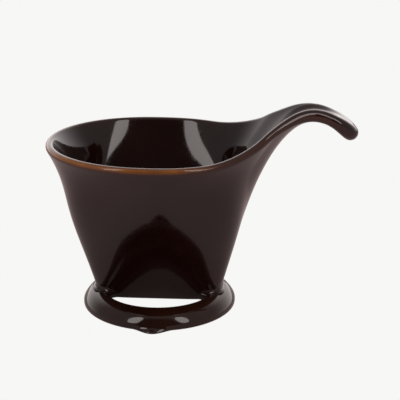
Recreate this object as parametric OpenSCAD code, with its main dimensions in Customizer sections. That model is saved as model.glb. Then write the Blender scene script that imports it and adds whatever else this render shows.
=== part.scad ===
// Slip-cast stoneware pour over dripper: a wedge-shaped filter cone with a
// curled leaf handle, standing on a round flange with two viewing windows.
// Millimetres, +Z up. The origin is the centre of the rest face; the handle
// points along +X and the two windows face -Y and +Y.

/* [Cone] */
// Height of the middle of the lip above the rest face
rim_z = 88.5; // [80:0.5:100]
// Extra height of the lip at the end away from the handle
rim_sweep = 1.1; // [0:0.1:4]
// Half length of the mouth, to the middle of the wall
mouth_l = 55.3; // [52:0.5:60]
// Half width of the mouth, to the middle of the wall
mouth_w = 49.7; // [45:0.1:52]
// Half length of the cone where it meets the floor
foot_l = 31; // [28:0.2:34]
// Half width of the cone where it meets the floor
foot_w = 9.6; // [9:0.1:13]
// Thickness of the cone wall
wall_t = 4.2; // [3:0.1:6]
// Height at which the flat faces start to lean outwards
belly_z = 24.5; // [20:0.5:40]
// How gently that change of lean happens
belly_w = 31; // [10:1:40]
// How far the ends of the mouth flare beyond a straight wall
flare = 2.6; // [0:0.1:5]
// Depth of the flared band below the lip
flare_h = 20; // [10:1:30]
// Roundness of the mouth beside the handle, where 2 is an ellipse
mouth_round = 1.95; // [1.8:0.05:2.2]

/* [Handle] */
// Where along X the handle is highest
crest_x = 80.5; // [76:0.5:86]
// Height of the middle of the handle there
crest_z = 106.8; // [98:0.2:112]
// Radius of the handle's arch on the cone side
root_r = 13.5; // [12:0.5:20]
// Radius of the handle's arch on the tip side
curl_r = 18; // [16:0.5:26]
// Where along X the arch sweeps out of the wall
sweep_x = 48; // [46:0.5:50]
// Distance over which the wall melts into the handle
melt = 8; // [4:0.5:12]
// Angle around the cone at which the lip leaves for the handle
lip_angle = 28; // [24:1:34]
// Half width of the handle at its crest, to the middle of its edge
neck_w = 6.4; // [5:0.1:9]
// Half width where the tip begins to round off
tip_w = 5.3; // [4:0.1:6]
// Length of the rounded tip
tip_l = 10.5; // [8:0.5:14]
// Thickness of the handle at its crest
handle_t = 6.4; // [5:0.1:8]
// Thickness at the tip
tip_t = 8; // [6:0.1:10]
// Depth of the groove along the top of the handle
groove_d = 1.2; // [0:0.1:2]

/* [Flange] */
// Radius of the flange
flange_r = 40.6; // [39:0.1:44]
// Radius of the round opening in it
opening_r = 28; // [24:0.5:29]
// Height of the flange's top face
flange_h = 10.7; // [8.5:0.1:12]
// Radius of the flange's rounded lower edge
edge_r = 3; // [2:0.25:4]
// Width of the band over which its top slopes down to that edge
slope_w = 9.6; // [5:0.1:10]
// Radius of a thumb tab in plan
tab_r = 9; // [7:0.5:11]
// Distance from the origin to the centre of a thumb tab
tab_y = 35; // [33:0.5:36]
// Outer radius of the unglazed foot ring
foot_ring_r = 36; // [34:0.2:36.4]
// Width of the foot ring
foot_ring_w = 3.2; // [2:0.2:4]
// Height of the foot ring
foot_ring_h = 0.6; // [0.4:0.1:1.5]

/* [Inside] */
// Thickness of the drain floor
floor_t = 4; // [3:0.5:5]
// How deep it is let into the flange
floor_seat = 4; // [1:0.1:4]
// Radius of a drain hole
hole_r = 2.5; // [1.5:0.1:3.5]
// Distance between the two drain holes
hole_gap = 24; // [18:1:30]
// Ribs on each flat face
rib_count = 5; // [3:2:7]
// Distance between ribs
rib_gap = 6; // [5:0.5:7]
// How far a rib stands off the wall
rib_h = 1.4; // [0.8:0.1:2]
// Width of a rib
rib_w = 2; // [1.2:0.1:3]
// Height at which the ribs fade into the wall
rib_top = 50; // [30:1:55]

/* [Hidden] */
glaze = "#2a1613";
bare_clay = "#a58a70";

// The wall stands on the floor at this height
floor_z = flange_h - floor_seat + floor_t;
// Columns around one half of the lip: cone, run to the handle, its side, tip
cone_cols = 26;
melt_cols = 10;
side_cols = 4;
tip_cols = 6;
half_cols = cone_cols + melt_cols + side_cols + tip_cols;
// Rows up the wall, and points around the rounded lip
rows = 20;
lip_steps = 5;
// Halvings used to find the height of the wall above a point in plan
halvings = 22;
// Highest level that search starts from
search_top = 140;
// Plan length of the handle's straight sides
tip_x = crest_x + 8;
// The cone and the handle are cut apart here
split_x = 61.5;
// Upward bend of the arch where it sweeps out of the wall
sweep_lift = 0.05;
// Rise of the lip where it starts up the handle
lip_rise = 6.1;
// Angle at which that rise starts
rise_angle = 60;
// Cross curve of the handle's dished root, and where it has flattened out
dish = 0.043;
dish_x = 60;
flat_x = 90;
// How straight the lip runs on from the cone, and how it comes in to the crest
lip_lead = 6.5;
neck_lead = [-14, 3.2];
// Columns of the handle bunch towards its centre line by this power, run out along
// it by the next, and spread to its edges by the last
fan_power = 3;
run_power = 3;
spread_power = 7;
// Squareness of the foot, where 2 is an ellipse, and how far up the wall keeps it
foot_square = 5;
face_power = 3;
// Where the wall starts to thicken, and where the groove starts and how it fades
thicken_x = 56;
groove_x = 58;
groove_fade = 14;
groove_out = 5;
// Step used to measure slopes
probe = 0.01;
// A cutting block larger than the whole object
far = 300;
smooth_fn = 96;
joint_gap = 0.02;

function smooth(t) = let (u = min(max(t, 0), 1)) u * u * (3 - 2 * u);
function soft_min(a, b, k) =
    let (h = max(k - abs(a - b), 0) / k) min(a, b) - h * h * k / 4;
function mix(a, b, t) = a * (1 - t) + b * t;

// Half width and half length of the wall's middle at height z
function lean(z) = let (d = z - belly_z) (sqrt(d * d + belly_w * belly_w) + d) / 2;
function half_w(z) =
    foot_w + (mouth_w - foot_w) * (lean(z) - lean(floor_z)) / (lean(rim_z) - lean(floor_z));
function half_l(z) =
    foot_l + (mouth_l - flare - foot_l) * (z - floor_z) / (rim_z - floor_z)
    + flare * pow(max(0, (z - rim_z + flare_h) / flare_h), 2);

// Polar radius of a slot with half length a and half width b, and of an oval
function slot_r(p, a, b) =
    let (s = a - b, c = abs(cos(p)), n = abs(sin(p)))
    b * c <= s * n ? b / n : s * c + sqrt(b * b - s * s * n * n);
function oval_r(p, a, b, n) = pow(pow(abs(cos(p)) / a, n) + pow(abs(sin(p)) / b, n), -1 / n);

// Polar radius of the wall's middle: a squared oblong at the foot, opening to a slot
// that is drawn in to an oval towards the handle
function wall_r(p, z) =
    let (a = half_l(z), b = half_w(z),
         mouth = mix(slot_r(p, a, b), oval_r(p, a, b, mouth_round), (1 + cos(p)) / 2),
         opened = pow(smooth((z - floor_z) / (rim_z - floor_z)), face_power))
    mix(oval_r(p, a, b, foot_square), mouth, opened);
function wall_z(p, r, low = 0, high = search_top, n = halvings) =
    let (m = (low + high) / 2)
    n == 0 ? m : wall_r(p, m) < r ? wall_z(p, r, m, high, n - 1) : wall_z(p, r, low, m, n - 1);

// Height of the handle's middle surface over a point in plan: an arch whose cone side
// straightens at sweep_x and then bends upwards
function handle_z(x, y) =
    let (d = max(x, sweep_x) - crest_x, r = d < 0 ? root_r : curl_r,
         short = max(0, sweep_x - x), slope = (crest_x - sweep_x) / root_r,
         dished = dish * max(0, (flat_x - x) / (flat_x - dish_x)))
    crest_z - d * d / (2 * r) - slope * short + sweep_lift * short * short + dished * y * y;
function sheet_z(x, y) =
    soft_min(wall_z(atan2(y, x), norm([x, y])), handle_z(x, y), melt);

// Half outline of the sheet in plan, from the far end of the mouth to the tip
function lip_z(p) = rim_z + rim_sweep * pow((1 - cos(p)) / 2, 2)
    + lip_rise * pow(min(1, max(0, (rise_angle - p) / (rise_angle - lip_angle))), 2);
function on_cone(p, z) = wall_r(p, z) * [cos(p), sin(p)];
function unit(v) = v / norm(v);
function bezier(a, b, c, d, t) =
    let (u = 1 - t) u * u * u * a + 3 * u * u * t * b + 3 * u * t * t * c + t * t * t * d;
lip_end = on_cone(lip_angle, lip_z(lip_angle));
lip_dir = unit(lip_end - on_cone(lip_angle + 2, lip_z(lip_angle + 2)));
neck = [crest_x, neck_w];
function half_outline(i) =
    i <= cone_cols
    ? let (p = mix(180, lip_angle, i / cone_cols)) on_cone(p, lip_z(p))
    : i <= cone_cols + melt_cols
    ? bezier(lip_end, lip_end + lip_lead * lip_dir, neck + neck_lead, neck, (i - cone_cols) / melt_cols)
    : i <= cone_cols + melt_cols + side_cols
    ? let (t = (i - cone_cols - melt_cols) / side_cols) mix(neck, [tip_x, tip_w], t)
    : let (a = 90 * (half_cols - i) / tip_cols) [tip_x + tip_l * cos(a), tip_w * sin(a)];
function half_angle(i) =
    i <= cone_cols ? mix(180, lip_angle, i / cone_cols)
    : lip_angle * pow((half_cols - i) / (half_cols - cone_cols), fan_power);

// Middle surface: one list of points per column, foot to lip. Columns are evenly
// turned around the foot and drift to their places on the lip
function column(i) =
    let (p = half_angle(i), lip = half_outline(i), shift = lip - on_cone(p, lip_z(p)))
    [for (j = [0:rows])
        let (v = j / rows, q = mix(180 * (1 - i / half_cols), p, v),
             out = [pow(v, run_power) * shift[0], pow(v, spread_power) * shift[1]],
             at = on_cone(q, mix(floor_z, lip_z(p), v)) + out)
        [at[0], at[1], j == 0 ? floor_z : sheet_z(at[0], at[1])]];
half_sheet = [for (i = [0:half_cols]) column(i)];
function flip(c) = [for (q = c) [q[0], -q[1], q[2]]];
sheet = concat(half_sheet, [for (i = [half_cols - 1:-1:1]) flip(half_sheet[i])]);
cols = len(sheet);

// Slopes along X and Y of the wall's height, from the change of its polar radius, and of
// the handle's height
function wall_slope(x, y, z) =
    let (p = atan2(y, x), r = norm([x, y]), turn = [-y, x] * 180 / PI / (r * r),
         per_degree = (wall_r(p + probe, z) - wall_r(p - probe, z)) / (2 * probe),
         per_mm = (wall_r(p, z + probe) - wall_r(p, z - probe)) / (2 * probe))
    ([x, y] / r - per_degree * turn) / per_mm;
function handle_slope(x, y) =
    [handle_z(x + probe, y) - handle_z(x - probe, y),
     handle_z(x, y + probe) - handle_z(x, y - probe)] / (2 * probe);

// Unit normal of the sheet, pointing to the inside and to the handle's top; it is
// level at the foot
function normal(q) =
    let (x = q[0], y = q[1], wall = wall_z(atan2(y, x), norm([x, y])), arch = handle_z(x, y),
         blend = max(melt - abs(wall - arch), 0) / melt / 2,
         share = wall < arch ? 1 - blend : blend,
         slope = share * wall_slope(x, y, wall) + (1 - share) * handle_slope(x, y))
    unit([-slope[0], -slope[1], q[2] > floor_z ? 1 : 0]);
function thickness(x) =
    mix(mix(wall_t, handle_t, smooth((x - thicken_x) / (crest_x - thicken_x))), tip_t,
        smooth((x - tip_x) / tip_l));
function groove(x, y) =
    let (w = mix(neck_w, tip_w, (x - crest_x) / (tip_x - crest_x)),
         fade = smooth((x - groove_x) / groove_fade) * smooth((tip_x + groove_out - x) / (2 * groove_out)))
    groove_d * fade * pow(max(0, 1 - pow(y / w, 2)), 2);
function section(i) =
    let (line = sheet[i], normals = [for (q = line) normal(q)],
         end = line[rows], n = normals[rows], h = thickness(end[0]) / 2,
         along = sheet[(i + 1) % cols][rows] - sheet[(i + cols - 1) % cols][rows],
         out = unit(cross(n, along)))
    concat(
        [for (j = [0:rows]) line[j] - normals[j] * thickness(line[j][0]) / 2],
        [for (k = [1:lip_steps - 1])
            let (a = 180 * k / lip_steps - 90) end + h * (sin(a) * n + cos(a) * out)],
        [for (j = [rows:-1:0])
            let (q = line[j]) q + normals[j] * (thickness(q[0]) / 2 - groove(q[0], q[1]))]);

module clay_sheet() {
    ring = [for (i = [0:cols - 1]) section(i)];
    n = len(ring[0]);
    points = [for (s = ring) each s];
    faces = [for (i = [0:cols - 1], k = [0:n - 1])
        let (a = i * n + k, b = i * n + (k + 1) % n,
             c = ((i + 1) % cols) * n + (k + 1) % n, d = ((i + 1) % cols) * n + k)
        each [[a, b, c], [a, c, d]]];
    polyhedron(points, faces, convexity = 8);
}

module handle_side() {
    translate([split_x, -far / 2, 0])
        cube(far);
}

module filter_cone() {
    color(glaze)
        difference() {
            clay_sheet();
            handle_side();
        }
}

module handle() {
    color(glaze)
        intersection() {
            clay_sheet();
            handle_side();
        }
}

// Plate with the outline of the wall's foot
module floor_plate(grow = 0) {
    turn = 3;
    translate([0, 0, floor_z - floor_t])
        linear_extrude(floor_t)
            offset(delta = wall_t / 2 + grow)
                polygon([for (p = [0:turn:360 - turn]) on_cone(p, floor_z)]);
}

module drain_floor() {
    color(glaze)
        difference() {
            floor_plate();
            for (side = [-1, 1])
                translate([side * hole_gap / 2, 0, 0])
                    cylinder(r = hole_r, h = far, $fn = smooth_fn);
        }
}

// Inner face of the flat wall at height z
function inner_w(z) =
    let (slope = (half_w(z + probe) - half_w(z - probe)) / (2 * probe))
    half_w(z) - wall_t / 2 * sqrt(1 + slope * slope);
module rib() {
    steps = 14;
    rooted = 0.1;
    fade_power = 0.4;
    levels = [for (k = [0:steps]) mix(floor_z, rib_top, k / steps)];
    backs = [for (z = levels) [inner_w(z) + rooted, z]];
    fronts = [for (k = [steps:-1:0])
        let (z = levels[k]) [inner_w(z) - rib_h * pow(1 - k / steps, fade_power), z]];
    translate([rib_w / 2, 0, 0])
        rotate([90, 0, -90])
            linear_extrude(rib_w)
                polygon(concat(backs, fronts));
}
module rib_row() {
    for (k = [0:rib_count - 1])
        translate([(k - (rib_count - 1) / 2) * rib_gap, 0, 0])
            rib();
}

module front_ribs() {
    color(glaze)
        rib_row();
}

module rear_ribs() {
    color(glaze)
        mirror([0, 1, 0])
            rib_row();
}

// Flange section: flat underside, top sloping down to the outer edge, round inner edge
module flange_half() {
    inner_r = 3;
    low = foot_ring_h;
    edge_z = low + edge_r;
    under = [for (a = [-90:15:-15]) [flange_r - edge_r + edge_r * cos(a), edge_z + edge_r * sin(a)]];
    over = [for (a = [0:7.5:90])
        [flange_r - slope_w + slope_w * cos(a), edge_z + (flange_h - edge_z) * sin(a)]];
    inner = [for (a = [90:15:270])
        [opening_r + inner_r + inner_r * cos(a),
         a <= 180 ? flange_h - inner_r + inner_r * sin(a) : low + inner_r + inner_r * sin(a)]];
    polygon(concat(under, over, inner));
}
module flange_ring() {
    rotate_extrude($fn = smooth_fn)
        flange_half();
}

module base_flange() {
    color(glaze)
        difference() {
            flange_ring();
            floor_plate(joint_gap);
        }
}

// Thumb tab: its crisp lower edge reaches further out than its soft top
module tab() {
    low_r = 1.5;
    top_r = 3.2;
    top = 5.8;
    low = foot_ring_h;
    profile = concat(
        [[0, low]],
        [for (a = [-90:15:0]) [tab_r - low_r + low_r * cos(a), low + low_r + low_r * sin(a)]],
        [for (a = [0:15:90]) [tab_r - top_r + top_r * cos(a), top - top_r + top_r * sin(a)]],
        [[0, top]]);
    difference() {
        translate([0, -tab_y, 0])
            rotate_extrude($fn = smooth_fn)
                polygon(profile);
        cylinder(r = flange_r - slope_w / 2, h = far, $fn = smooth_fn);
        flange_ring();
    }
}

module front_tab() {
    color(glaze)
        tab();
}

module rear_tab() {
    color(glaze)
        mirror([0, 1, 0])
            tab();
}

module foot_ring() {
    color(bare_clay)
        difference() {
            cylinder(r = foot_ring_r, h = foot_ring_h, $fn = smooth_fn);
            translate([0, 0, -1])
                cylinder(r = foot_ring_r - foot_ring_w, h = foot_ring_h + 2, $fn = smooth_fn);
        }
}

filter_cone();
handle();
drain_floor();
front_ribs();
rear_ribs();
base_flange();
front_tab();
rear_tab();
foot_ring();
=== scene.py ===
import math

import bpy
import bmesh
import numpy as np
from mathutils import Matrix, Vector


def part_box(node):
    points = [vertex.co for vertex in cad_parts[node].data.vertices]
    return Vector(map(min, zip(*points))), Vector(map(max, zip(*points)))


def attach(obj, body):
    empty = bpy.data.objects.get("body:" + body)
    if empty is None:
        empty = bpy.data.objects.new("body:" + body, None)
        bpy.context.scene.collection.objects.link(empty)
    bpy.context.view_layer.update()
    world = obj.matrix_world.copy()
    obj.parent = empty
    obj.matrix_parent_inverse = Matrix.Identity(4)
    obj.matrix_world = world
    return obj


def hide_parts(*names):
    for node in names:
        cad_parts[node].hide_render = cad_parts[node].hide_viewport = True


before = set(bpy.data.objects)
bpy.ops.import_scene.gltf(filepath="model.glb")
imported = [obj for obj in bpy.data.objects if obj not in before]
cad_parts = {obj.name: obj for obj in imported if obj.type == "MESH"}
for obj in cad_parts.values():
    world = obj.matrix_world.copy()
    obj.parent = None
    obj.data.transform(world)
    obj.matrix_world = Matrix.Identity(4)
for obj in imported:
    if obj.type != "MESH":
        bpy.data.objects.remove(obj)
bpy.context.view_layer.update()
MM = 0.001


# ---- Filter cone and leaf handle -------------------------------------------------------
# The body is one slip-cast sheet of stoneware: an oval mouth that narrows to a slot-shaped
# foot, with the lip drawn out on one side into a grooved leaf that curls over. It is fired
# with a dark iron glaze that pulls thin and amber over every edge.
WALL_T = 4.2
RIM_Z, RIM_SWEEP = 88.5, 1.1
MOUTH_L, MOUTH_W, MOUTH_ROUND = 55.3, 49.7, 1.95
FOOT_L, FOOT_W, FOOT_SQUARE = 31.0, 9.6, 5
BELLY_Z, BELLY_W = 24.5, 31.0
FLARE, FLARE_H = 2.6, 20.0
FACE_POWER = 3
SOLE_Z, FLOOR_Z = (corner[2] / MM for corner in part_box("drain_floor"))
FLANGE_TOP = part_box("base_flange")[1][2] / MM
CREST_X, CREST_Z = 80.5, 106.8
ROOT_R, CURL_R, MELT = 13.5, 18.0, 8.0
SWEEP_X, SWEEP_LIFT = 48.0, 0.05
DISH, DISH_X, FLAT_X = 0.043, 60.0, 90.0
NECK_W, TIP_W, TIP_L = 6.4, 5.3, 10.5
HANDLE_T, TIP_T, THICKEN_X = 6.4, 8.0, 56.0
GROOVE, GROOVE_X, GROOVE_FADE, GROOVE_OUT = 1.2, 58.0, 14.0, 5.0
TIP_X = CREST_X + 8.0
LIP_ANGLE, RISE_ANGLE, LIP_RISE = math.radians(28), math.radians(60), 6.1
LIP_LEAD, NECK_LEAD = 6.5, (-14.0, 3.2)
FAN_POWER, RUN_POWER, SPREAD_POWER = 3, 3, 7
FILLET, FOOT_ROUND = 2.6, 1.6
SPLIT_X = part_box("handle")[0][0]
CONE_COLS, MELT_COLS, SIDE_COLS, TIP_COLS = 84, 30, 12, 22
ROWS, LIP_STEPS, HALVINGS = 96, 16, 30


def smooth(t):
    u = np.clip(t, 0.0, 1.0)
    return u * u * (3 - 2 * u)


def mix(a, b, t):
    return a * (1 - t) + b * t


def unit(v):
    return v / np.linalg.norm(v, axis=-1, keepdims=True)


def lean(z):
    d = z - BELLY_Z
    return (np.sqrt(d * d + BELLY_W ** 2) + d) / 2


def half_w(z):
    return FOOT_W + (MOUTH_W - FOOT_W) * (lean(z) - lean(FLOOR_Z)) / (lean(RIM_Z) - lean(FLOOR_Z))


def half_l(z):
    straight = FOOT_L + (MOUTH_L - FLARE - FOOT_L) * (z - FLOOR_Z) / (RIM_Z - FLOOR_Z)
    return straight + FLARE * np.maximum(0, (z - RIM_Z + FLARE_H) / FLARE_H) ** 2


def wall_r(p, z):
    """Polar radius of the wall's middle: a squared oblong at the foot, opening to a slot that
    is drawn in to an oval towards the leaf."""
    a, b = half_l(z), half_w(z)
    c, n, s = np.abs(np.cos(p)), np.abs(np.sin(p)), a - b
    flat = b / np.maximum(n, 1e-9)
    end = s * c + np.sqrt(np.maximum(b * b - (s * n) ** 2, 0))
    slot = np.where(b * c <= s * n, flat, end)
    oval = ((c / a) ** MOUTH_ROUND + (n / b) ** MOUTH_ROUND) ** (-1 / MOUTH_ROUND)
    oblong = ((c / a) ** FOOT_SQUARE + (n / b) ** FOOT_SQUARE) ** (-1 / FOOT_SQUARE)
    opened = smooth((z - FLOOR_Z) / (RIM_Z - FLOOR_Z)) ** FACE_POWER
    return mix(oblong, mix(slot, oval, (1 + np.cos(p)) / 2), opened)


def wall_z(p, r):
    """Height of the wall's middle above a point in plan, found by halving."""
    low, high = np.zeros_like(r), np.full_like(r, 140.0)
    for _ in range(HALVINGS):
        level = (low + high) / 2
        above = wall_r(p, level) < r
        low, high = np.where(above, level, low), np.where(above, high, level)
    return (low + high) / 2


def handle_z(x, y):
    """Height of the leaf: an arch that straightens towards the wall and then bends upwards."""
    d, short = np.maximum(x, SWEEP_X) - CREST_X, np.maximum(0, SWEEP_X - x)
    dished = DISH * np.maximum(0, (FLAT_X - x) / (FLAT_X - DISH_X))
    arch = CREST_Z - d * d / (2 * np.where(d < 0, ROOT_R, CURL_R)) + dished * y * y
    return arch - (CREST_X - SWEEP_X) / ROOT_R * short + SWEEP_LIFT * short * short


def sheet_at(x, y):
    """Height of the sheet, where the wall melts into the leaf, and its slopes along X and Y."""
    p, r, step = np.arctan2(y, x), np.hypot(x, y), 1e-3
    wall, arch = wall_z(p, r), handle_z(x, y)
    per_turn = (wall_r(p + step, wall) - wall_r(p - step, wall)) / (2 * step)
    per_mm = (wall_r(p, wall + step) - wall_r(p, wall - step)) / (2 * step)
    wall_x, wall_y = (x + per_turn * y / r) / r / per_mm, (y - per_turn * x / r) / r / per_mm
    arch_x = (handle_z(x + step, y) - handle_z(x - step, y)) / (2 * step)
    arch_y = (handle_z(x, y + step) - handle_z(x, y - step)) / (2 * step)
    blend = np.maximum(MELT - np.abs(wall - arch), 0) / MELT
    share = np.where(wall < arch, 1 - blend / 2, blend / 2)
    height = np.minimum(wall, arch) - blend * blend * MELT / 4
    return height, mix(arch_x, wall_x, share), mix(arch_y, wall_y, share)


def lip_z(p):
    climb = np.clip((RISE_ANGLE - p) / (RISE_ANGLE - LIP_ANGLE), 0, 1)
    return RIM_Z + RIM_SWEEP * ((1 - np.cos(p)) / 2) ** 2 + LIP_RISE * climb ** 2


def on_cone(p, z):
    r = wall_r(p, z)
    return np.stack([r * np.cos(p), r * np.sin(p)], -1)


def half_outline():
    """The lip in plan from the far end of the mouth to the tip, and each column's angle."""
    cone_p = np.linspace(math.pi, LIP_ANGLE, CONE_COLS + 1)
    cone = on_cone(cone_p, lip_z(cone_p))
    neck, tip = np.array([CREST_X, NECK_W]), np.array([TIP_X, TIP_W])
    ends = [cone[-1], cone[-1] + LIP_LEAD * unit(cone[-1] - cone[-2]), neck + NECK_LEAD, neck]
    t = (np.arange(1, MELT_COLS + 1) / MELT_COLS)[:, None]
    run = ((1 - t) ** 3 * ends[0] + 3 * (1 - t) ** 2 * t * ends[1]
           + 3 * (1 - t) * t * t * ends[2] + t ** 3 * ends[3])
    side = mix(neck, tip, (np.arange(1, SIDE_COLS + 1) / SIDE_COLS)[:, None])
    a = math.pi / 2 * (1 - np.arange(1, TIP_COLS + 1) / TIP_COLS)
    end = np.stack([TIP_X + TIP_L * np.cos(a), TIP_W * np.sin(a)], -1)
    rest = MELT_COLS + SIDE_COLS + TIP_COLS
    fan = LIP_ANGLE * (1 - np.arange(1, rest + 1) / rest) ** FAN_POWER
    return np.concatenate([cone, run, side, end]), np.concatenate([cone_p, fan])


def middle_surface():
    """Points and normals of the sheet, column by column round the lip, row by row from the
    sole up. The columns of the leaf bunch towards its centre line and spread to its edges."""
    lip, angle = half_outline()
    count = len(angle)
    arc = np.linspace(0, math.pi / 2, 9)
    rounds = ((SOLE_Z, FOOT_ROUND), (FLANGE_TOP, FILLET), (FLOOR_Z, FILLET))
    low = np.unique(np.round(np.concatenate([z + r * (1 - np.cos(arc)) for z, r in rounds]), 1))
    top = lip_z(angle)[:, None]
    start = low[-1] + 0.5
    high = start + (top - start) * (np.arange(ROWS + 1) / ROWS)[None]
    z = np.concatenate([np.repeat(low[None], count, 0), high], 1)
    v = (z - SOLE_Z) / (top - SOLE_Z)
    foot_angle = math.pi * (1 - np.arange(count) / (count - 1))
    shift = lip - on_cone(angle, lip_z(angle))
    plan = on_cone(mix(foot_angle[:, None], angle[:, None], v), z)
    x = plan[..., 0] + v ** RUN_POWER * shift[:, :1]
    y = plan[..., 1] + v ** SPREAD_POWER * shift[:, 1:]
    height, slope_x, slope_y = sheet_at(x, y)
    level = smooth((height - SOLE_Z - 1) / 8)
    points, normals = np.stack([x, y, height], -1), unit(np.stack([-slope_x, -slope_y, level], -1))
    return [np.concatenate([half, half[-2:0:-1] * [1, -1, 1]]) for half in (points, normals)]


def round_in(z, base, radius):
    """Set-back of a quarter-round of that radius standing on base: all of it at the base."""
    h = np.clip((z - base) / radius, 0, 1)
    return radius * (1 - np.sqrt(1 - (1 - h) ** 2))


def clay_sheet():
    """Closed sections, one per column: outside up, round the lip, inside down. Also the
    distance of each point inwards from the crest of the lip."""
    grid, normal = middle_surface()
    x, y = grid[..., 0], grid[..., 1]
    thick = mix(WALL_T, HANDLE_T, smooth((x - THICKEN_X) / (CREST_X - THICKEN_X)))
    thick = mix(thick, TIP_T, smooth((x - TIP_X) / TIP_L))
    strip = mix(NECK_W, TIP_W, (x - CREST_X) / (TIP_X - CREST_X))
    fade = smooth((x - GROOVE_X) / GROOVE_FADE) * smooth((TIP_X + GROOVE_OUT - x) / (2 * GROOVE_OUT))
    groove = GROOVE * fade * np.maximum(0, 1 - (y / strip) ** 2) ** 2
    outside = grid - normal * (thick / 2)[..., None]
    inside = grid + normal * (thick / 2 - groove)[..., None]
    level = unit(normal * [1, 1, 0] + [0, 0, 1e-9])
    reach = np.hypot(outside[..., 0], outside[..., 1])
    on_flange = smooth((reach - 24.0) / 5.0)
    skirt = round_in(outside[..., 2], FLANGE_TOP, FILLET) * on_flange
    tuck = round_in(outside[..., 2], SOLE_Z, FOOT_ROUND) * (1 - on_flange)
    outside = outside - level * (skirt - tuck)[..., None]
    inside = inside + level * round_in(inside[..., 2], FLOOR_Z, FILLET)[..., None]
    end, n, h = grid[:, -1], normal[:, -1], thick[:, -1:] / 2
    out = unit(np.cross(n, np.roll(end, -1, 0) - np.roll(end, 1, 0)))
    turn = math.pi * np.arange(1, LIP_STEPS) / LIP_STEPS - math.pi / 2
    lip = [end + h * (math.sin(a) * n + math.cos(a) * out) for a in turn]
    section = np.concatenate([outside, np.stack(lip, 1), inside[:, ::-1]], 1)
    step = np.linalg.norm(np.diff(section, axis=1), axis=-1)
    run = np.concatenate([np.zeros((len(section), 1)), np.cumsum(step, 1)], 1)
    crest = grid.shape[1] - 1 + LIP_STEPS // 2
    return section, run - run[:, crest:crest + 1]


def mesh_from(name, points, faces):
    """A new smooth-shaded mesh from points in millimetres."""
    mesh = bpy.data.meshes.new(name)
    mesh.from_pydata((np.asarray(points) * MM).tolist(), [], faces)
    mesh.polygons.foreach_set("use_smooth", [True] * len(mesh.polygons))
    mesh.update()
    return mesh


def wrapped_faces(cols, count):
    """Quads of a grid that closes on itself both ways."""
    return [(i * count + k, i * count + (k + 1) % count,
             (i + 1) % cols * count + (k + 1) % count, (i + 1) % cols * count + k)
            for i in range(cols) for k in range(count)]


def new_piece(name, mesh, material):
    mesh.materials.clear()
    mesh.materials.append(material)
    piece = bpy.data.objects.new(name, mesh)
    bpy.context.scene.collection.objects.link(piece)
    return piece


def cut_piece(name, whole, material, *planes):
    """The closed piece of a mesh that lies behind every plane, shaded as the whole was."""
    made = bmesh.new()
    made.from_mesh(whole)
    shading = made.verts.layers.float_vector.new("shading")
    cap = made.faces.layers.int.new("cap")
    for vert in made.verts:
        vert[shading] = vert.normal
    for place, axis in planes:
        everything = made.verts[:] + made.edges[:] + made.faces[:]
        cut = bmesh.ops.bisect_plane(made, geom=everything, dist=1e-8, plane_co=place, plane_no=axis,
                                     clear_outer=True)
        rim = [edge for edge in cut["geom_cut"] if isinstance(edge, bmesh.types.BMEdge)]
        lids = bmesh.ops.triangle_fill(made, edges=rim, use_beauty=True, normal=axis)["geom"]
        for face in lids:
            if isinstance(face, bmesh.types.BMFace):
                face[cap], face.smooth = 1, True
    mesh = bpy.data.meshes.new(name)
    made.to_mesh(mesh)
    made.free()
    normals = np.empty((len(mesh.vertices), 3))
    mesh.attributes["shading"].data.foreach_get("vector", normals.ravel())
    lid = [bool(item.value) for item in mesh.attributes["cap"].data]
    loops = [poly.normal if lid[poly.index] else normals[mesh.loops[k].vertex_index]
             for poly in mesh.polygons for k in poly.loop_indices]
    for spent in ("shading", "cap"):
        mesh.attributes.remove(mesh.attributes[spent])
    mesh.normals_split_custom_set([tuple(n) for n in loops])
    return new_piece(name, mesh, material)


def add(tree, kind, values=None, **options):
    """A node with its options; its inputs are set to numbers or linked to other sockets."""
    made = tree.nodes.new(kind)
    for name, value in options.items():
        setattr(made, name, value)
    for key, value in (values or {}).items():
        if isinstance(value, bpy.types.NodeSocket):
            tree.links.new(value, made.inputs[key])
        else:
            made.inputs[key].default_value = value
    return made


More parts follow.
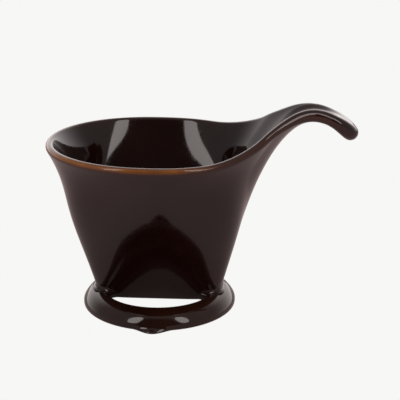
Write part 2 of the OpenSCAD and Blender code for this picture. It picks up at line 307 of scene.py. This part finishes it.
def glaze(name, deep, warm, rust, amber):
    """Glossy iron glaze: deep where it pools, warmer in drifts, rust where it thins and amber
    where an edge shows through, with a few pinholes and a faint orange-peel surface."""
    material = bpy.data.materials.new(name)
    material.use_nodes = True
    tree = material.node_tree
    shader = tree.nodes["Principled BSDF"]
    where = tree.nodes.new("ShaderNodeTexCoord").outputs["Object"]

    def noise(scale, detail):
        made = add(tree, "ShaderNodeTexNoise", {"Vector": where, "Scale": scale, "Detail": detail})
        return made.outputs["Fac"]

    def ramp(source, low, high, first, second):
        return add(tree, "ShaderNodeMapRange", {"Value": source, "From Min": low, "From Max": high,
                                                "To Min": first, "To Max": second}).outputs["Result"]

    def times(a, b):
        return add(tree, "ShaderNodeMath", {0: a, 1: b}, operation="MULTIPLY").outputs[0]

    def blend(fac, a, b):
        made = add(tree, "ShaderNodeMix", {"Factor": fac}, data_type="RGBA")
        for value, socket in ((a, made.inputs["A"]), (b, made.inputs["B"])):
            if isinstance(value, tuple):
                socket.default_value = (*value, 1)
            else:
                tree.links.new(value, socket)
        return made.outputs["Result"]

    thin = add(tree, "ShaderNodeAttribute", attribute_name="thin_glaze").outputs["Fac"]
    body = blend(ramp(noise(26, 3), 0.35, 0.7, 0, 1), deep, warm)
    rusty = blend(times(ramp(thin, 0.0, 0.35, 0, 1), ramp(noise(120, 4), 0.25, 0.6, 0.7, 1)), body, rust)
    edge = blend(times(ramp(thin, 0.35, 1.0, 0, 1), ramp(noise(60, 3), 0.3, 0.65, 0.5, 1)), rusty, amber)
    hole = add(tree, "ShaderNodeTexVoronoi", {"Vector": where, "Scale": 95.0}).outputs["Distance"]
    pinhole = times(ramp(hole, 0.018, 0.04, 1, 0), ramp(noise(35, 1), 0.56, 0.6, 0, 1))
    tree.links.new(blend(times(pinhole, 0.5), edge, (0.09, 0.055, 0.045)), shader.inputs["Base Color"])
    tree.links.new(ramp(noise(420, 2), 0.3, 0.7, 0.05, 0.10), shader.inputs["Roughness"])
    shader.inputs["IOR"].default_value = 1.5
    peel = add(tree, "ShaderNodeBump", {"Height": noise(210, 2), "Strength": 0.02, "Distance": 0.0005})
    pit = add(tree, "ShaderNodeBump", {"Height": pinhole, "Strength": 0.25, "Distance": 0.0002,
                                       "Normal": peel.outputs["Normal"]}, invert=True)
    tree.links.new(pit.outputs["Normal"], shader.inputs["Normal"])
    return material


def thin_glaze(mesh, values):
    """How thin the glaze lies at each point, from 0 to 1, for the glaze's colour."""
    mesh.attributes.new("thin_glaze", "FLOAT", "POINT").data.foreach_set("value", np.ravel(values))


body_glaze = glaze("iron_glaze", deep=(0.012, 0.0036, 0.0026), warm=(0.019, 0.0062, 0.0044),
                   rust=(0.060, 0.018, 0.009), amber=(0.34, 0.125, 0.028))

sections, from_crest = clay_sheet()
sheet_mesh = mesh_from("clay_sheet", sections.reshape(-1, 3), wrapped_faces(*sections.shape[:2]))
bare_edge = 0.80 * np.exp(-((from_crest + 0.8) / 1.5) ** 2) + 0.20 * np.exp(-((from_crest + 0.6) / 3.2) ** 2)
along_leaf = smooth((sections[..., 0] - 8) / 34)
thin_glaze(sheet_mesh, bare_edge * mix(1, 0.30, along_leaf) * (1 - 0.8 * smooth((sections[..., 0] - 88) / 8)))
cut = Vector((SPLIT_X, 0, 0))
cone = cut_piece("cone_wall", sheet_mesh, body_glaze, (cut, Vector((1, 0, 0))))
handle = cut_piece("leaf_handle", sheet_mesh, body_glaze, (cut, Vector((-1, 0, 0))))
for piece, node in ((cone, "filter_cone"), (handle, "handle")):
    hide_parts(node)
    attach(piece, "root")


# ---- Drain floor -----------------------------------------------------------------------
# The long narrow floor closes the foot of the cone. It is part of the casting, and its two
# drain holes are cut through it while the clay is leather-hard.
HOLE_R, HOLE_GAP, SOFT_EDGE = 2.5, 24.0, 0.5


def slot_outline(a, b, steps=24):
    turn = [math.pi * (k / steps - 0.5) for k in range(steps + 1)]
    right = [(a - b + b * math.cos(t), b * math.sin(t)) for t in turn]
    return right + [(-x, -y) for x, y in right]


def pierced_plate(name, outlines, low, high, soft, material):
    """A flat plate between two heights with softened edges; inner outlines are holes."""
    curve = bpy.data.curves.new(name, "CURVE")
    curve.dimensions, curve.fill_mode = "2D", "BOTH"
    curve.extrude = ((high - low) / 2 - soft) * MM
    curve.bevel_depth, curve.bevel_resolution, curve.offset = soft * MM, 3, -soft * MM
    for outline in outlines:
        spline = curve.splines.new("POLY")
        spline.points.add(len(outline) - 1)
        for point, (x, y) in zip(spline.points, outline):
            point.co = (x * MM, y * MM, 0, 1)
        spline.use_cyclic_u = True
    pattern = bpy.data.objects.new(name, curve)
    mesh = bpy.data.meshes.new_from_object(pattern)
    bpy.data.objects.remove(pattern)
    made = bmesh.new()
    made.from_mesh(mesh)
    bmesh.ops.translate(made, vec=(0, 0, (low + high) / 2 * MM), verts=made.verts)
    bmesh.ops.remove_doubles(made, verts=made.verts, dist=1e-6)
    bmesh.ops.recalc_face_normals(made, faces=made.faces)
    made.to_mesh(mesh)
    made.free()
    return new_piece(name, mesh, material)


round_hole = [(HOLE_R * math.cos(t), HOLE_R * math.sin(t)) for t in np.linspace(0, 2 * math.pi, 48, False)]
holes = [[(x + side * HOLE_GAP / 2, y) for x, y in round_hole] for side in (-1, 1)]
floor_plate = pierced_plate("slot_floor", [slot_outline(FOOT_L, FOOT_W)] + holes, SOLE_Z, FLOOR_Z,
                            SOFT_EDGE, body_glaze)
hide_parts("drain_floor")
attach(floor_plate, "root")


# ---- Ribs ------------------------------------------------------------------------------
# Five low ribs run up the inside of each broad face and fade out half way, so that the wet
# paper stands off the wall. They are cast with it and glazed over.
RIB_COUNT, RIB_GAP = 5, 6.0
RIB_R, RIB_STAND, RIB_TOP = 1.0, 1.4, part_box("front_ribs")[1][2] / MM


def grown(name, base, tree, **inputs):
    """The mesh that a geometry tree grows on a base mesh, as plain geometry."""
    piece = bpy.data.objects.new(name, base)
    bpy.context.scene.collection.objects.link(piece)
    grow = piece.modifiers.new(name, "NODES")
    grow.node_group = tree
    sockets = {item.name: item.identifier for item in tree.interface.items_tree}
    for key, value in inputs.items():
        grow[sockets[key.replace("_", " ")]] = value
    depsgraph = bpy.context.evaluated_depsgraph_get()
    mesh = bpy.data.meshes.new_from_object(piece.evaluated_get(depsgraph), depsgraph=depsgraph)
    piece.modifiers.remove(grow)
    bpy.data.objects.remove(piece)
    return mesh


def geometry_tree(name, **inputs):
    """An empty geometry tree with named inputs, and its input and output nodes."""
    tree = bpy.data.node_groups.new(name, "GeometryNodeTree")
    for key, kind in {"Geometry": "Geometry", **inputs}.items():
        tree.interface.new_socket(key.replace("_", " "), in_out="INPUT", socket_type="NodeSocket" + kind)
    tree.interface.new_socket("Geometry", in_out="OUTPUT", socket_type="NodeSocketGeometry")
    return tree, tree.nodes.new("NodeGroupInput").outputs, tree.nodes.new("NodeGroupOutput")


def rib_tree():
    """A rounded rib along each line of the base mesh, repeated in a row across the face."""
    tree, given, result = geometry_tree("rib_row", Rib_radius="Float", Count="Int", Gap="Float",
                                        Material="Material")
    line = add(tree, "GeometryNodeMeshToCurve", {"Mesh": given["Geometry"]})
    girth = add(tree, "GeometryNodeInputNamedAttribute", {"Name": "girth"}, data_type="FLOAT")
    section = add(tree, "GeometryNodeCurvePrimitiveCircle", {"Resolution": 20, "Radius": given["Rib radius"]})
    rib = add(tree, "GeometryNodeCurveToMesh", {"Curve": line.outputs["Curve"], "Fill Caps": True,
                                                "Profile Curve": section.outputs["Curve"],
                                                "Scale": girth.outputs["Attribute"]})
    less = add(tree, "ShaderNodeMath", {0: given["Count"], 1: 1.0}, operation="SUBTRACT")
    width = add(tree, "ShaderNodeMath", {0: less.outputs[0], 1: given["Gap"]}, operation="MULTIPLY")
    first = add(tree, "ShaderNodeMath", {0: width.outputs[0], 1: -0.5}, operation="MULTIPLY")
    start = add(tree, "ShaderNodeCombineXYZ", {"X": first.outputs[0]})
    pitch = add(tree, "ShaderNodeCombineXYZ", {"X": given["Gap"]})
    row = add(tree, "GeometryNodeMeshLine", {"Count": given["Count"], "Start Location": start.outputs[0],
                                             "Offset": pitch.outputs[0]})
    spread = add(tree, "GeometryNodeInstanceOnPoints", {"Points": row.outputs["Mesh"],
                                                        "Instance": rib.outputs["Mesh"]})
    real = add(tree, "GeometryNodeRealizeInstances", {"Geometry": spread.outputs["Instances"]})
    coated = add(tree, "GeometryNodeSetMaterial", {"Geometry": real.outputs["Geometry"],
                                                   "Material": given["Material"]})
    tree.links.new(coated.outputs["Geometry"], result.inputs["Geometry"])
    return tree


ribs = rib_tree()
for side, node in ((-1, "front_ribs"), (1, "rear_ribs")):
    z = np.linspace(FLOOR_Z, RIB_TOP, 40)
    slope = (half_w(z + 0.01) - half_w(z - 0.01)) / 0.02
    face = half_w(z) - WALL_T / 2 * np.sqrt(1 + slope ** 2)
    girth = (1 - ((z - FLOOR_Z) / (RIB_TOP - FLOOR_Z)) ** 3) ** 0.5 * 0.8 + 0.2
    y = side * (face - (RIB_STAND - RIB_R) * girth + (1 - girth) * RIB_R)
    line = bpy.data.meshes.new(node)
    line.from_pydata(np.stack([0 * z, y, z], -1) * MM, [(k, k + 1) for k in range(len(z) - 1)], [])
    line.attributes.new("girth", "FLOAT", "POINT").data.foreach_set("value", girth)
    mesh = grown(node, line, ribs, Rib_radius=RIB_R * MM, Count=RIB_COUNT, Gap=RIB_GAP * MM,
                 Material=body_glaze)
    rib_piece = new_piece(node.replace("ribs", "rib_row"), mesh, body_glaze)
    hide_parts(node)
    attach(rib_piece, "root")


# ---- Flange and thumb tabs -------------------------------------------------------------
# The round flange is thrown or cast on its own and luted round the foot of the cone. Its top
# slopes down to the edge. It stands on the cup, leaves a window on each side of the foot, and
# swells into a small thumb tab at the front and the back.
FLANGE_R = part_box("base_flange")[1][0] / MM
OPENING_R = 28.0
FLANGE_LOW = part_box("base_flange")[0][2] / MM
EDGE_R = 3.9
SLOPE, SLOPE_W = 0.45, 9.6
TAB_OUT, TAB_DROOP, TAB_HALF, TAB_CUT = 0.1, 4.4, 10.5, 38.0


def ring_tree():
    """A turned ring of rounded section whose top slopes down towards its outer edge, drawn
    out into a lobe at the front and the back."""
    tree, given, result = geometry_tree("turned_ring", Outer_radius="Float", Inner_radius="Float",
                                        Low="Float", High="Float", Edge="Float", Slope="Float",
                                        Slope_width="Float", Lobe_out="Float", Lobe_droop="Float",
                                        Lobe_half="Float", Segments="Int", Spacing="Float",
                                        Material="Material")

    def maths(operation, *values):
        return add(tree, "ShaderNodeMath", dict(enumerate(values)), operation=operation).outputs[0]

    middle = maths("MULTIPLY", maths("ADD", given["Outer radius"], given["Inner radius"]), 0.5)
    width = maths("SUBTRACT", given["Outer radius"], given["Inner radius"])
    height = maths("SUBTRACT", given["High"], given["Low"])
    raised = maths("MULTIPLY", maths("ADD", given["High"], given["Low"]), 0.5)
    path = add(tree, "GeometryNodeCurvePrimitiveCircle", {"Resolution": given["Segments"], "Radius": middle})
    oblong = add(tree, "GeometryNodeCurvePrimitiveQuadrilateral", {"Width": width, "Height": height})
    eased = add(tree, "GeometryNodeFilletCurve", {"Curve": oblong.outputs["Curve"], "Count": 14,
                                                  "Radius": given["Edge"], "Limit Radius": True}, mode="POLY")
    even = add(tree, "GeometryNodeResampleCurve", {"Curve": eased.outputs["Curve"],
                                                   "Length": given["Spacing"]}, mode="LENGTH")
    ring = add(tree, "GeometryNodeCurveToMesh", {"Curve": path.outputs["Curve"],
                                                 "Profile Curve": even.outputs["Curve"]})
    lift = add(tree, "ShaderNodeCombineXYZ", {"Z": raised})
    placed = add(tree, "GeometryNodeSetPosition", {"Geometry": ring.outputs["Mesh"],
                                                   "Offset": lift.outputs[0]})
    at = add(tree, "ShaderNodeSeparateXYZ", {0: tree.nodes.new("GeometryNodeInputPosition").outputs[0]})
    x, y, z = at.outputs
    reach = maths("SQRT", maths("ADD", maths("MULTIPLY", x, x), maths("MULTIPLY", y, y)))
    outwards = add(tree, "ShaderNodeMapRange", {"Value": reach, "From Min": given["Inner radius"],
                                                "From Max": given["Outer radius"]},
                   interpolation_type="SMOOTHSTEP").outputs["Result"]
    beside = maths("DIVIDE", x, given["Lobe half"])
    inside = maths("MAXIMUM", maths("SUBTRACT", 1.0, maths("MULTIPLY", beside, beside)), 0.0)
    swell = maths("MULTIPLY", inside, inside)
    low = add(tree, "ShaderNodeMapRange", {"Value": z, "From Min": given["High"], "From Max": given["Low"]},
              interpolation_type="SMOOTHSTEP").outputs["Result"]
    droop = maths("MULTIPLY", given["Lobe droop"], maths("POWER", low, 2.2))
    draw = maths("ADD", given["Lobe out"], droop)
    push = maths("MULTIPLY", maths("MULTIPLY", swell, outwards), maths("MULTIPLY", draw, maths("SIGN", y)))
    band = add(tree, "ShaderNodeMapRange", {"Value": reach, "From Max": given["Outer radius"],
                                            "From Min": maths("SUBTRACT", given["Outer radius"],
                                                              given["Slope width"])}).outputs["Result"]
    drop = maths("MULTIPLY", maths("MULTIPLY", band, band), given["Slope"])
    sink = maths("MULTIPLY", maths("SUBTRACT", given["Low"], z), drop)
    offset = add(tree, "ShaderNodeCombineXYZ", {"Y": push, "Z": sink})
    lobed = add(tree, "GeometryNodeSetPosition", {"Geometry": placed.outputs["Geometry"],
                                                  "Offset": offset.outputs[0]})
    soft = add(tree, "GeometryNodeSetShadeSmooth", {"Geometry": lobed.outputs["Geometry"],
                                                    "Shade Smooth": True})
    real = add(tree, "GeometryNodeRealizeInstances", {"Geometry": soft.outputs["Geometry"]})
    coated = add(tree, "GeometryNodeSetMaterial", {"Geometry": real.outputs["Geometry"],
                                                   "Material": given["Material"]})
    tree.links.new(coated.outputs["Geometry"], result.inputs["Geometry"])
    return tree


def outward(mesh):
    made = bmesh.new()
    made.from_mesh(mesh)
    bmesh.ops.recalc_face_normals(made, faces=made.faces)
    made.to_mesh(mesh)
    made.free()
    return mesh


base_glaze = glaze("flange_glaze", deep=(0.014, 0.0042, 0.0026), warm=(0.030, 0.0095, 0.0050),
                   rust=(0.058, 0.016, 0.008), amber=(0.20, 0.07, 0.02))
turned_ring = ring_tree()
flange_mesh = outward(grown("flange", bpy.data.meshes.new("flange"), turned_ring,
                            Outer_radius=FLANGE_R * MM, Inner_radius=OPENING_R * MM,
                            Low=FLANGE_LOW * MM, High=FLANGE_TOP * MM, Edge=EDGE_R * MM,
                            Slope=SLOPE, Slope_width=SLOPE_W * MM,
                            Lobe_out=TAB_OUT * MM, Lobe_droop=TAB_DROOP * MM, Lobe_half=TAB_HALF * MM,
                            Segments=320, Spacing=0.6 * MM, Material=base_glaze))
FRONT, REAR = Vector((0, -TAB_CUT, 0)) * MM, Vector((0, TAB_CUT, 0)) * MM
FORWARD, BACKWARD = Vector((0, -1, 0)), Vector((0, 1, 0))
flange = cut_piece("round_flange", flange_mesh, base_glaze, (FRONT, FORWARD), (REAR, BACKWARD))
front_tab = cut_piece("front_thumb_tab", flange_mesh, base_glaze, (FRONT, BACKWARD))
rear_tab = cut_piece("rear_thumb_tab", flange_mesh, base_glaze, (REAR, FORWARD))
for piece, node in ((flange, "base_flange"), (front_tab, "front_tab"), (rear_tab, "rear_tab")):
    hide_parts(node)
    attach(piece, "root")


# ---- Foot ring -------------------------------------------------------------------------
# A low ring under the flange that the potter wipes clean of glaze, so that the dripper can
# stand in the kiln. It shows the bare buff stoneware, slightly sandy to the touch.
FOOT_RING_R, FOOT_RING_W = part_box("foot_ring")[1][0] / MM, 3.2


def bare_clay(name, pale, dark):
    """Unglazed stoneware: buff, with iron specks and a fine sandy tooth."""
    material = bpy.data.materials.new(name)
    material.use_nodes = True
    tree = material.node_tree
    shader = tree.nodes["Principled BSDF"]
    where = tree.nodes.new("ShaderNodeTexCoord").outputs["Object"]
    cloud = add(tree, "ShaderNodeTexNoise", {"Vector": where, "Scale": 70.0, "Detail": 5.0})
    grain = add(tree, "ShaderNodeTexNoise", {"Vector": where, "Scale": 1400.0, "Detail": 3.0})
    speck = add(tree, "ShaderNodeTexVoronoi", {"Vector": where, "Scale": 420.0})
    dot = add(tree, "ShaderNodeMapRange", {"Value": speck.outputs["Distance"], "From Min": 0.12,
                                           "From Max": 0.2, "To Min": 0.7, "To Max": 0.0})
    tone = add(tree, "ShaderNodeMix", {"Factor": cloud.outputs["Fac"]}, data_type="RGBA")
    tone.inputs["A"].default_value, tone.inputs["B"].default_value = (*pale, 1), (*dark, 1)
    specked = add(tree, "ShaderNodeMix", {"Factor": dot.outputs["Result"]}, data_type="RGBA")
    specked.inputs["B"].default_value = (0.08, 0.04, 0.025, 1)
    tree.links.new(tone.outputs["Result"], specked.inputs["A"])
    tree.links.new(specked.outputs["Result"], shader.inputs["Base Color"])
    rough = add(tree, "ShaderNodeMapRange", {"Value": grain.outputs["Fac"], "To Min": 0.75, "To Max": 0.95})
    tree.links.new(rough.outputs["Result"], shader.inputs["Roughness"])
    tooth = add(tree, "ShaderNodeBump", {"Height": grain.outputs["Fac"], "Strength": 0.35,
                                         "Distance": 0.0002})
    tree.links.new(tooth.outputs["Normal"], shader.inputs["Normal"])
    return material


clay = bare_clay("bare_stoneware", pale=(0.42, 0.30, 0.20), dark=(0.30, 0.20, 0.13))
foot_mesh = outward(grown("foot", bpy.data.meshes.new("foot"), turned_ring,
                          Outer_radius=FOOT_RING_R * MM, Inner_radius=(FOOT_RING_R - FOOT_RING_W) * MM,
                          Low=0.0, High=FLANGE_LOW * MM, Edge=0.25 * MM, Slope=0.0, Slope_width=MM,
                          Lobe_out=0.0, Lobe_droop=0.0, Lobe_half=1.0,
                          Segments=240, Spacing=0.1 * MM, Material=clay))
foot = new_piece("kiln_foot", foot_mesh, clay)
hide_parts("foot_ring")
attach(foot, "root")


# ---- Floor, light and camera -----------------------------------------------------------
# A pale sweep in a plain studio: the sweep is lit to near white behind the dripper, and two
# softboxes stand either side of a dark space behind the camera.
SWEEP_WHITE = 0.93
PAPER, BOUNCE, BOUNCE_TINT = (0.54, 0.43, 0.42, 1), 0.16, (1.0, 0.86, 0.82, 1)
ROOM_FAR, ROOM_SIDE, ROOM_TINT = 1.9, 0.37, (1.0, 0.93, 0.92, 1)


def seen_or_mirrored(tree, seen, mirrored):
    """One closure for what the camera sees directly, another for all other light."""
    path = tree.nodes.new("ShaderNodeLightPath")
    mixed = add(tree, "ShaderNodeMixShader", {0: path.outputs["Is Camera Ray"]})
    tree.links.new(mirrored, mixed.inputs[1])
    tree.links.new(seen, mixed.inputs[2])
    return mixed.outputs["Shader"]


def sweep_paper():
    material = bpy.data.materials.new("sweep_paper")
    material.use_nodes = True
    tree = material.node_tree
    tree.nodes.remove(tree.nodes["Principled BSDF"])
    lit = add(tree, "ShaderNodeEmission", {"Color": (1.0, 1.0, 0.985, 1), "Strength": SWEEP_WHITE})
    paper = add(tree, "ShaderNodeBsdfDiffuse", {"Color": PAPER})
    bounced = add(tree, "ShaderNodeEmission", {"Color": BOUNCE_TINT, "Strength": BOUNCE})
    filled = add(tree, "ShaderNodeAddShader", {0: paper.outputs[0], 1: bounced.outputs[0]})
    surface = seen_or_mirrored(tree, lit.outputs[0], filled.outputs[0])
    tree.links.new(surface, tree.nodes["Material Output"].inputs["Surface"])
    return material


bpy.ops.mesh.primitive_plane_add(size=8, location=(0, 0, 0))
sweep = bpy.context.object
sweep.name = "sweep"
sweep.data.materials.append(sweep_paper())

world = bpy.data.worlds.new("room")
world.use_nodes = True
tree = world.node_tree
towards = tree.nodes.new("ShaderNodeTexCoord").outputs["Generated"]
behind_camera = add(tree, "ShaderNodeVectorMath", {0: towards, 1: (0, -math.cos(0.5), math.sin(0.5))},
                    operation="DOT_PRODUCT")
pale_far = add(tree, "ShaderNodeMapRange", {"Value": behind_camera.outputs["Value"], "From Min": -0.8,
                                            "From Max": 0.1, "To Min": ROOM_FAR,
                                            "To Max": ROOM_SIDE},
               interpolation_type="SMOOTHSTEP")
dark_near = add(tree, "ShaderNodeMapRange", {"Value": behind_camera.outputs["Value"], "From Min": 0.72,
                                             "From Max": 0.9, "To Min": 1.0, "To Max": 0.12},
                interpolation_type="SMOOTHSTEP")
room = add(tree, "ShaderNodeMath", {0: pale_far.outputs["Result"], 1: dark_near.outputs["Result"]},
           operation="MULTIPLY")
walls = add(tree, "ShaderNodeBackground", {"Color": ROOM_TINT, "Strength": room.outputs[0]})
backdrop = add(tree, "ShaderNodeBackground", {"Color": (1.0, 1.0, 0.985, 1), "Strength": SWEEP_WHITE})
around = seen_or_mirrored(tree, backdrop.outputs[0], walls.outputs[0])
tree.links.new(around, tree.nodes["World Output"].inputs["Surface"])
bpy.context.scene.world = world


def softbox(name, azimuth, elevation, distance, width, height, power):
    """An area light aimed at the dripper, placed round it as the camera is."""
    a, e = math.radians(azimuth), math.radians(elevation)
    back = Vector((math.sin(a) * math.cos(e), -math.cos(a) * math.cos(e), math.sin(e)))
    light = bpy.data.lights.new(name, "AREA")
    light.color = (1.0, 0.92, 0.90)
    light.shape, light.size, light.size_y, light.energy = "ELLIPSE", width, height, power
    lamp = bpy.data.objects.new(name, light)
    lamp.location = Vector((0, 0, 0.06)) + back * distance
    lamp.rotation_euler = back.to_track_quat("Z", "Y").to_euler()
    bpy.context.scene.collection.objects.link(lamp)


softbox("softbox_left", -39, 40, 1.1, 0.28, 0.78, 2.1)
softbox("softbox_right", 45, 40, 1.1, 0.28, 0.78, 2.1)

LOOK_AZIMUTH, LOOK_UP, LOOK_FROM = math.radians(3.8), math.radians(18.17), 0.650
aim = Vector((21.8 * math.cos(LOOK_AZIMUTH), 21.8 * math.sin(LOOK_AZIMUTH), 58.7)) * MM
back = Vector((math.sin(LOOK_AZIMUTH) * math.cos(LOOK_UP), -math.cos(LOOK_AZIMUTH) * math.cos(LOOK_UP),
               math.sin(LOOK_UP)))
camera = bpy.data.objects.new("camera", bpy.data.cameras.new("camera"))
camera.location = aim + back * LOOK_FROM
camera.rotation_euler = back.to_track_quat("Z", "Y").to_euler()
camera.data.lens = 111.15
camera.data.clip_start = 0.01
bpy.context.scene.collection.objects.link(camera)
bpy.context.scene.camera = camera
bpy.context.scene.view_settings.view_transform = "Standard"
